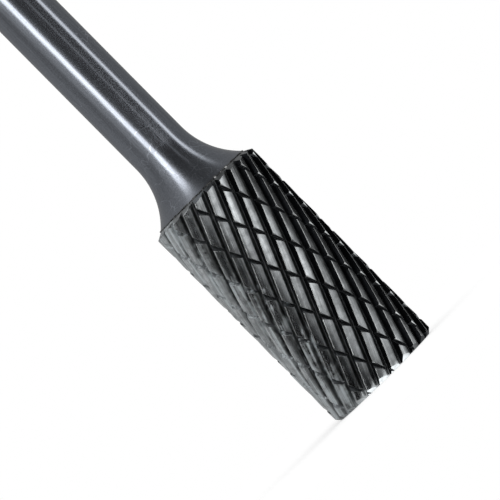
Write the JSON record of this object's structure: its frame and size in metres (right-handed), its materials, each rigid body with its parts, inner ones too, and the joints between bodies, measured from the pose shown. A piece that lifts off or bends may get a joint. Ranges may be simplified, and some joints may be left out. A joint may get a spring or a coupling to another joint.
{
  "type": "carbide burr",
  "caption": "Cylindrical double-cut carbide burr for deburring and shaping metal, brazed to a straight round steel shank with a flared neck.",
  "frame": {"origin": "centre of the flat end face of the cutting head, on which the burr stands", "axes": "+Z along the burr's axis, from the end face of the head to the free end of the shank"},
  "size_m": [0.0128, 0.0128, 0.07],
  "materials": {
    "shank_steel": "satin",
    "silver_solder": "satin",
    "tungsten_carbide": "satin"
  },
  "bodies": {
    "root": {"shank": "shank_steel", "braze_joint": "silver_solder", "cutting_head": "tungsten_carbide"}
  },
  "joints": []
}
